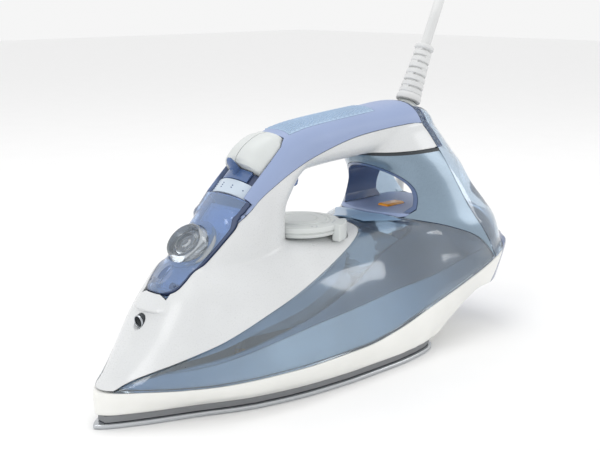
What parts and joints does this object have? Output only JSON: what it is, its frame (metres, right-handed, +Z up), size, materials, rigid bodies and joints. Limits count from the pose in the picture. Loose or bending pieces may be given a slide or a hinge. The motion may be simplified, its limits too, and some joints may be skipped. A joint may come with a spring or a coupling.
{
  "type": "clothes iron",
  "caption": "Corded steam iron with a pointed metal soleplate, translucent tank, looped handle on a tunnelled rear post, filling door, steam lever, buttons, dial and swivelling cord entry.",
  "frame": {"origin": "Centre of the iron's footprint box on the surface it stands on, the free cord left out.", "axes": "+X from nose to heel, +Y to the iron's right seen from the heel's left, +Z up from the soleplate to the handle."},
  "size_m": [0.3481, 0.2396, 0.2356],
  "materials": {
    "sole_steel": "polished steel plate",
    "casting_aluminium": "cast aluminium",
    "steel": "plain steel",
    "brass": "brass",
    "cream_plastic": "glossy cream plastic",
    "white_plastic": "satin white plastic",
    "lavender_plastic": "satin lavender blue plastic",
    "pad_plastic": "pale blue textured grip",
    "tank_plastic": "translucent smoke blue plastic",
    "door_plastic": "translucent light blue plastic",
    "metallic_plastic": "metallic pale blue lacquer",
    "shell_plastic": "glossy translucent blue",
    "deep_plastic": "deep blue plastic",
    "lever_plastic": "slate blue translucent plastic",
    "band_plastic": "pale blue white plastic",
    "clear_plastic": "clear grey plastic",
    "amber_lens": "amber lens",
    "dark_plastic": "dark grey plastic",
    "seal_rubber": "silicone rubber",
    "cord_rubber": "white flexible cord sheath",
    "board_green": "green circuit board"
  },
  "bodies": {
    "iron_body": {"soleplate": "sole_steel", "heater_casting": "casting_aluminium", "heating_element": "steel", "sole_gasket": "seal_rubber", "chamber_lid": "casting_aluminium", "valve_seat": "brass", "thermostat": "brass", "thermal_fuse": "cream_plastic", "pillar_front": "steel", "pillar_left": "steel", "pillar_right": "steel", "skirt": "cream_plastic", "water_tank": "tank_plastic", "handle_shell": "white_plastic", "grip_cover": "lavender_plastic", "grip_pad": "pad_plastic", "seam_ring": "dark_plastic", "rear_post": "metallic_plastic", "tunnel_liner": "deep_plastic", "tunnel_floor": "lavender_plastic", "indicator_lens": "amber_lens", "rear_shell": "shell_plastic", "heel_cap": "deep_plastic", "tank_deck": "tank_plastic", "door_pin": "steel", "fill_tray": "white_plastic", "scale_band": "band_plastic", "lever_track": "deep_plastic", "button_bezel": "dark_plastic", "spray_pump": "white_plastic", "boost_pump": "white_plastic", "spray_spring": "steel", "boost_spring": "steel", "spray_nozzle": "dark_plastic", "spray_hose": "clear_plastic", "trigger_spring": "steel", "trigger_switch": "dark_plastic", "terminal_block": "dark_plastic", "cord_clamp": "dark_plastic", "control_board": "board_green", "cord_tube": "cord_rubber", "cord_coil": "cord_rubber", "cord_tie": "white_plastic", "cord_tail": "cord_rubber", "plug_body": "white_plastic", "plug_pin_left": "brass", "plug_pin_right": "brass"},
    "dial": {"temperature_dial": "white_plastic", "dial_spindle": "steel"},
    "lever": {"steam_lever": "lever_plastic"},
    "valve": {"valve_rod": "steel"},
    "spray_key": {"spray_button": "white_plastic", "spray_plunger": "dark_plastic"},
    "boost_key": {"boost_button": "white_plastic", "boost_plunger": "dark_plastic"},
    "trigger": {"steam_trigger": "lever_plastic"},
    "door": {"fill_door": "door_plastic", "door_plug": "clear_plastic"},
    "cord_entry": {"swivel_ball": "white_plastic", "cord_guard": "cord_rubber"}
  },
  "joints": [
    {"name": "dial_turn", "type": "hinge", "parent": "iron_body", "child": "dial", "pos_m": [-0.0075, 0, 0.088], "axis": [0, 0, 1], "range_deg": [-35, 75]},
    {"name": "lever_turn", "type": "hinge", "parent": "iron_body", "child": "lever", "pos_m": [-0.04305, 0, 0.11041], "axis": [0.7254, 0, 0.6884], "range_deg": [-14, 14]},
    {"name": "valve_lift", "type": "slide", "parent": "iron_body", "child": "valve", "axis": [0, 0, 1], "range_m": [0, 0.001], "stiffness_N_per_m": 300, "springref_m": -0.002},
    {"name": "spray_press", "type": "slide", "parent": "iron_body", "child": "spray_key", "axis": [0.6884, 0, -0.7254], "range_m": [0, 0.003], "stiffness_N_per_m": 500, "springref_m": -0.002, "deforming": ["spray_spring"]},
    {"name": "boost_press", "type": "slide", "parent": "iron_body", "child": "boost_key", "axis": [0.6884, 0, -0.7254], "range_m": [0, 0.003], "stiffness_N_per_m": 500, "springref_m": -0.002, "deforming": ["boost_spring"]},
    {"name": "trigger_press", "type": "slide", "parent": "iron_body", "child": "trigger", "axis": [0, 0, 1], "range_m": [0, 0.0035], "stiffness_N_per_m": 500, "springref_m": -0.002, "deforming": ["trigger_spring"]},
    {"name": "door_open", "type": "hinge", "parent": "iron_body", "child": "door", "pos_m": [-0.11378, 0, 0.06728], "axis": [0, 1, 0], "range_deg": [-70, 0]},
    {"name": "cord_swing", "type": "hinge", "parent": "iron_body", "child": "cord_entry", "pos_m": [0.0945, 0, 0.152], "axis": [1, 0, 0], "range_deg": [-35, 35]}
  ]
}
